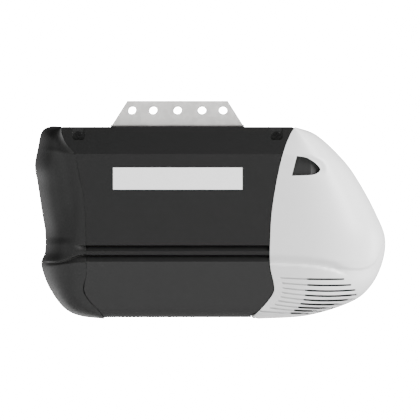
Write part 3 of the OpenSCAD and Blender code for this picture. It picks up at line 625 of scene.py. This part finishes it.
def surface(name, colour, roughness, metallic=0.0, spread=0.08, patch=25, grain=1800,
            grain_depth=0.00002, stretch=(1, 1, 1), gloss_spread=0.06, **shader_values):
    """Base colour with soft patches, mottled roughness and a fine grain in the bump."""
    material, tree, shader = shader_tree(name)
    place = coordinates(tree, stretch)
    patches = add_node(tree, "ShaderNodeTexNoise", Scale=patch, Detail=4.0, Roughness=0.6)
    grains = add_node(tree, "ShaderNodeTexNoise", Scale=grain, Detail=2.0, Roughness=0.55)
    for node in (patches, grains):
        tree.links.new(place, node.inputs["Vector"])
    tint = ramp(tree, patches.outputs[0], [(0.3, shade(colour, 1 - spread)),
                                           (0.7, shade(colour, 1 + spread))])
    tree.links.new(tint, shader.inputs["Base Color"])
    low, high = max(0.02, roughness - gloss_spread), min(1.0, roughness + gloss_spread)
    gloss = ramp(tree, grains.outputs[0], [(0.35, (low,) * 3), (0.65, (high,) * 3)])
    tree.links.new(gloss, shader.inputs["Roughness"])
    bump = add_node(tree, "ShaderNodeBump", Strength=1.0, Distance=grain_depth)
    tree.links.new(grains.outputs[0], bump.inputs["Height"])
    tree.links.new(bump.outputs[0], shader.inputs["Normal"])
    shader.inputs["Metallic"].default_value = metallic
    for key, value in shader_values.items():
        shader.inputs[key.replace("_", " ")].default_value = value
    return material


def spangled(name, colour):
    """Galvanised sheet: crystal flakes with their own tone and gloss, under fine scratches."""
    material, tree, shader = shader_tree(name)
    place = coordinates(tree)
    flakes = add_node(tree, "ShaderNodeTexVoronoi", Scale=210.0)
    tree.links.new(place, flakes.inputs["Vector"])
    cloud = add_node(tree, "ShaderNodeTexNoise", Scale=45.0, Detail=5.0)
    tree.links.new(place, cloud.inputs["Vector"])
    both = tree.nodes.new("ShaderNodeMix")
    both.data_type = "FLOAT"
    both.inputs[0].default_value = 0.5
    tree.links.new(flakes.outputs["Color"], both.inputs[2])
    tree.links.new(cloud.outputs[0], both.inputs[3])
    tint = ramp(tree, both.outputs[0], [(0.25, shade(colour, 0.93)), (0.75, shade(colour, 1.06))])
    tree.links.new(tint, shader.inputs["Base Color"])
    gloss = ramp(tree, both.outputs[0], [(0.2, (0.42,) * 3), (0.8, (0.58,) * 3)])
    tree.links.new(gloss, shader.inputs["Roughness"])
    bump = add_node(tree, "ShaderNodeBump", Strength=0.5, Distance=0.00002)
    tree.links.new(both.outputs[0], bump.inputs["Height"])
    tree.links.new(bump.outputs[0], shader.inputs["Normal"])
    shader.inputs["Metallic"].default_value = 0.55
    return material


# Wave texture scale that gives one band in each metre.
BAND_SCALE = 0.314


def striped(name, dark, light, axis, pitch, metallic, roughness):
    """Laminations or wire: even bands along one axis, raised a little."""
    material, tree, shader = shader_tree(name)
    place = coordinates(tree)
    bands = tree.nodes.new("ShaderNodeTexWave")
    bands.wave_type = "BANDS"
    bands.bands_direction = axis
    bands.inputs["Scale"].default_value = BAND_SCALE / pitch
    bands.inputs["Distortion"].default_value = 0.6
    bands.inputs["Detail Scale"].default_value = 3.0
    tree.links.new(place, bands.inputs["Vector"])
    tint = ramp(tree, bands.outputs[0], [(0.2, dark), (0.8, light)])
    tree.links.new(tint, shader.inputs["Base Color"])
    bump = add_node(tree, "ShaderNodeBump", Strength=0.8, Distance=pitch * 0.3)
    tree.links.new(bands.outputs[0], bump.inputs["Height"])
    tree.links.new(bump.outputs[0], shader.inputs["Normal"])
    shader.inputs["Metallic"].default_value = metallic
    shader.inputs["Roughness"].default_value = roughness
    return material


def circuit(name):
    """Green solder mask with faint copper runs."""
    material, tree, shader = shader_tree(name)
    place = coordinates(tree)
    runs = tree.nodes.new("ShaderNodeTexBrick")
    for key, value in (("Scale", 260.0), ("Mortar Size", 0.03), ("Color1", (0.01, 0.09, 0.035, 1)),
                       ("Color2", (0.012, 0.11, 0.04, 1)), ("Mortar", (0.03, 0.2, 0.07, 1))):
        runs.inputs[key].default_value = value
    turned = add_node(tree, "ShaderNodeMapping", Rotation=(0, math.radians(90), 0))
    tree.links.new(place, turned.inputs["Vector"])
    tree.links.new(turned.outputs[0], runs.inputs["Vector"])
    tree.links.new(runs.outputs["Color"], shader.inputs["Base Color"])
    bump = add_node(tree, "ShaderNodeBump", Strength=0.4, Distance=0.00003)
    tree.links.new(runs.outputs["Fac"], bump.inputs["Height"])
    tree.links.new(bump.outputs[0], shader.inputs["Normal"])
    shader.inputs["Roughness"].default_value = 0.3
    return material


def make_materials():
    """One material for each slot of the record."""
    made = {
        "dark_cover": surface("dark_cover", (0.0062, 0.0062, 0.0062), 0.40, grain=1500,
                              grain_depth=0.00002, spread=0.05, Specular_IOR_Level=0.42),
        "dark_cap": surface("dark_cap", (0.0055, 0.0055, 0.0055), 0.48, grain=900,
                            grain_depth=0.00001, spread=0.05, Specular_IOR_Level=0.42),
        "lens_white": surface("lens_white", (0.72, 0.72, 0.72), 0.38, grain=700,
                              grain_depth=0.000008, spread=0.02, patch=12),
        "black_steel": surface("black_steel", (0.008, 0.008, 0.008), 0.45, grain=1100,
                               grain_depth=0.00004, spread=0.2),
        "black_screw": surface("black_screw", (0.006, 0.006, 0.006), 0.32, 0.6, spread=0.3),
        "white_steel": surface("white_steel", (0.74, 0.74, 0.72), 0.4, grain=1000,
                               grain_depth=0.00004, spread=0.03),
        "galvanised": spangled("galvanised", (0.72, 0.71, 0.69)),
        "zinc": surface("zinc", (0.62, 0.61, 0.56), 0.3, 1.0, spread=0.12, patch=60),
        "label": surface("label", (0.97, 0.97, 0.97), 0.3, grain=600, grain_depth=0.000005,
                         spread=0.015),
        "white_plastic": surface("white_plastic", (0.72, 0.71, 0.66), 0.45, spread=0.04),
        "brass": surface("brass", (0.78, 0.57, 0.22), 0.28, 1.0, spread=0.15, patch=80),
        "lamination": striped("lamination", (0.05, 0.05, 0.052), (0.24, 0.24, 0.25), "X",
                              0.0011, 0.7, 0.45),
        "copper": striped("copper", (0.16, 0.05, 0.02), (0.6, 0.24, 0.1), "Z", 0.0012, 0.8, 0.35),
        "cast_alloy": surface("cast_alloy", (0.5, 0.5, 0.5), 0.5, 0.9, grain=700,
                              grain_depth=0.00008, spread=0.12),
        "ground_steel": surface("ground_steel", (0.52, 0.52, 0.53), 0.24, 1.0, spread=0.1,
                                stretch=(1, 1, 12), grain=900),
        "bronze": surface("bronze", (0.5, 0.34, 0.16), 0.5, 0.9, grain=2200,
                          grain_depth=0.00006, spread=0.2),
        "black_plastic": surface("black_plastic", (0.007, 0.007, 0.007), 0.5, spread=0.15),
        "circuit_board": circuit("circuit_board"),
        "nylon": surface("nylon", (0.78, 0.75, 0.62), 0.48, spread=0.05,
                         Subsurface_Weight=0.15, Subsurface_Scale=0.002),
        "orange_plastic": surface("orange_plastic", (0.72, 0.24, 0.03), 0.4, spread=0.08),
        "capacitor_can": surface("capacitor_can", (0.68, 0.68, 0.69), 0.32, 1.0, spread=0.06,
                                 stretch=(8, 1, 1)),
        "relay_blue": surface("relay_blue", (0.02, 0.07, 0.22), 0.3, spread=0.08),
        "grey_panel": surface("grey_panel", (0.05, 0.05, 0.05), 0.5, grain=1300,
                              grain_depth=0.00005, spread=0.08),
        "red_plastic": surface("red_plastic", (0.5, 0.02, 0.015), 0.3, spread=0.08),
        "grey_plastic": surface("grey_plastic", (0.26, 0.26, 0.27), 0.45, spread=0.06),
        "yellow_plastic": surface("yellow_plastic", (0.75, 0.52, 0.03), 0.4, spread=0.06),
        "amber_led": surface("amber_led", (0.8, 0.32, 0.03), 0.12, spread=0.06,
                             Transmission_Weight=0.4),
    }
    return made


# Toothed nodes keep the CAD normals, which already follow their fine facets.
FACETED = ("worm", "drive_gear", "travel_gear", "travel_pinion")

# Rounded edges of the other nodes: their width, and its largest share of the thinnest side.
EDGE_WIDTH = 0.35
EDGE_SHARE = 0.12
FLAT_ANGLE = math.radians(0.5)
EDGE_ANGLE = math.radians(11.5)


def dress_cad_nodes(materials):
    """Gives each CAD node its slot's material and soft, evenly shaded edges."""
    slots = {row["node"]: row["material_slot"] for row in frame["record"]["subparts"]}
    for name, obj in frame["nodes"].items():
        obj.data.materials.clear()
        obj.data.materials.append(materials[slots[name]])
        if name in FACETED:
            continue
        for kept in ("custom_normal", "sharp_edge", "sharp_face"):
            if kept in obj.data.attributes:
                obj.data.attributes.remove(obj.data.attributes[kept])
        low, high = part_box(name)
        width = min(EDGE_WIDTH * MM, min(high - low) * EDGE_SHARE)
        add_modifier(obj, "WELD", merge_threshold=1e-5)
        add_modifier(obj, "DECIMATE", decimate_type="DISSOLVE", angle_limit=FLAT_ANGLE)
        add_modifier(obj, "BEVEL", width=width, segments=2, limit_method="ANGLE",
                     angle_limit=EDGE_ANGLE)
        add_modifier(obj, "WEIGHTED_NORMAL", weight=100, keep_sharp=True)


# ---------------------------------------------------------------- stage
def add_camera():
    """A long lens level with the middle of the body, square to its front."""
    front_y = cad_box[0][1]
    frame_width = 0.4772
    eye_height = 0.1243
    focal = 1300.0
    sensor = 36.0
    data = bpy.data.cameras.new("camera")
    data.lens = focal
    data.sensor_width = sensor
    data.clip_end = 100
    camera = bpy.data.objects.new("camera", data)
    bpy.context.scene.collection.objects.link(camera)
    distance = frame_width * focal / sensor
    camera.location = (0.0, front_y - distance, eye_height)
    camera.rotation_euler = (math.radians(90), 0, 0)
    bpy.context.scene.camera = camera


def add_area_light(name, place, aim, size, power):
    """A white rectangular light, turned to face a point."""
    data = bpy.data.lights.new(name, "AREA")
    data.shape = "RECTANGLE"
    data.size, data.size_y = size
    data.energy = power
    light = bpy.data.objects.new(name, data)
    light.location = place
    light.rotation_euler = (Vector(aim) - Vector(place)).to_track_quat("-Z", "Y").to_euler()
    bpy.context.scene.collection.objects.link(light)


def add_floor():
    """A pale floor under the hanging head, below the camera's view."""
    size, z, segments = 750, -350, 16
    line = np.linspace(-size, size, segments + 1)
    points = [(x, y, z) for y in line for x in line]
    faces = [(j * (segments + 1) + i, j * (segments + 1) + i + 1,
              (j + 1) * (segments + 1) + i + 1, (j + 1) * (segments + 1) + i)
             for j in range(segments) for i in range(segments)]
    floor = add_mesh("floor", points, faces)
    floor.data.materials.append(surface("floor_paint", (0.8, 0.8, 0.8), 0.6, spread=0.02,
                                        patch=3, grain=120, grain_depth=0.0001))


# Share of the surround's strength at heights from straight down, -1, to straight up, 1.
SURROUND = ((-0.7, 1.0), (-0.3, 1.0), (0.0, 0.24), (0.3, 0.08), (0.7, 0.05))
SURROUND_STRENGTH = 1.9

# The screen fills the directions whose Y is over this range, right behind the object.
SCREEN_EDGE = (0.9975, 0.9992)
SCREEN_STRENGTH = 24.0


def add_world():
    """Studio surround: dim overhead, lighter below, and a white screen behind the object."""
    world = bpy.data.worlds.new("studio")
    bpy.context.scene.world = world
    world.use_nodes = True
    tree = world.node_tree
    background = tree.nodes["Background"]
    place = tree.nodes.new("ShaderNodeTexCoord")
    split = tree.nodes.new("ShaderNodeSeparateXYZ")
    tree.links.new(place.outputs["Generated"], split.inputs[0])
    height = tree.nodes.new("ShaderNodeFloatCurve")
    curve = height.mapping.curves[0]
    for place_z, strength in SURROUND:
        curve.points.new(place_z / 2 + 0.5, strength)
    curve.points[0].location = (0.0, SURROUND[0][1])
    curve.points[-1].location = (1.0, SURROUND[-1][1])
    height.mapping.update()
    half = tree.nodes.new("ShaderNodeMath")
    half.operation = "MULTIPLY_ADD"
    half.inputs[1].default_value = 0.5
    half.inputs[2].default_value = 0.5
    tree.links.new(split.outputs["Z"], half.inputs[0])
    tree.links.new(half.outputs[0], height.inputs["Value"])
    around = tree.nodes.new("ShaderNodeMath")
    around.operation = "MULTIPLY"
    around.inputs[1].default_value = SURROUND_STRENGTH
    tree.links.new(height.outputs[0], around.inputs[0])
    behind = tree.nodes.new("ShaderNodeMapRange")
    behind.interpolation_type = "SMOOTHSTEP"
    for key, value in (("From Min", SCREEN_EDGE[0]), ("From Max", SCREEN_EDGE[1]),
                       ("To Min", 0.0), ("To Max", SCREEN_STRENGTH)):
        behind.inputs[key].default_value = value
    tree.links.new(split.outputs["Y"], behind.inputs["Value"])
    total = tree.nodes.new("ShaderNodeMath")
    total.operation = "ADD"
    tree.links.new(around.outputs[0], total.inputs[0])
    tree.links.new(behind.outputs[0], total.inputs[1])
    tree.links.new(total.outputs[0], background.inputs["Strength"])
    background.inputs["Color"].default_value = (1, 1, 1, 1)


# ---------------------------------------------------------------- assembly
BODY_MIDDLE = (0, 0, 0.12)

add_camera()
add_world()
add_floor()
add_area_light("left_box", (-3.0, -2.2, 0.2), BODY_MIDDLE, (2.0, 2.0), 10)
add_area_light("right_box", (3.1, -1.6, 2.0), BODY_MIDDLE, (2.0, 2.0), 500)
add_area_light("right_edge", (2.2, 1.0, 0.1), (0.1, 0, 0.1), (0.8, 1.0), 30)

materials = make_materials()
dress_cad_nodes(materials)

lens, shade_liner = build_lens()
lens.data.materials.append(materials["lens_white"])
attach(lens, "lens")
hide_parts("light_lens")

# Black liner behind the vents: a dark sheet standing in for the shade inside the lens.
shade_liner.data.materials.append(materials["black_plastic"])
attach(shade_liner, "lens")

# Black strips behind the seam gaps close the view through them and stand in for the shade in the gaps.
for shade_strip in (build_seam_shade_strip("lens_seam_shade_strip", LENS_SEAM, LENS_ROWS, 1),
              build_seam_shade_strip("cap_seam_shade_strip", CAP_SEAM, CAP_ROWS, -1)):
    shade_strip.data.materials.append(materials["black_plastic"])
    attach(shade_strip, "body")

cap = build_end_cap()
cap.data.materials.append(materials["dark_cap"])
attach(cap, "body")
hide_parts("end_cap")

for where, side in (("front", -1), ("rear", 1)):
    spring, ends = build_spring("spring_" + where, "release_spring_" + where, side)
    spring.data.materials.append(materials["ground_steel"])
    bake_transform(spring)
    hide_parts("release_spring_" + where)
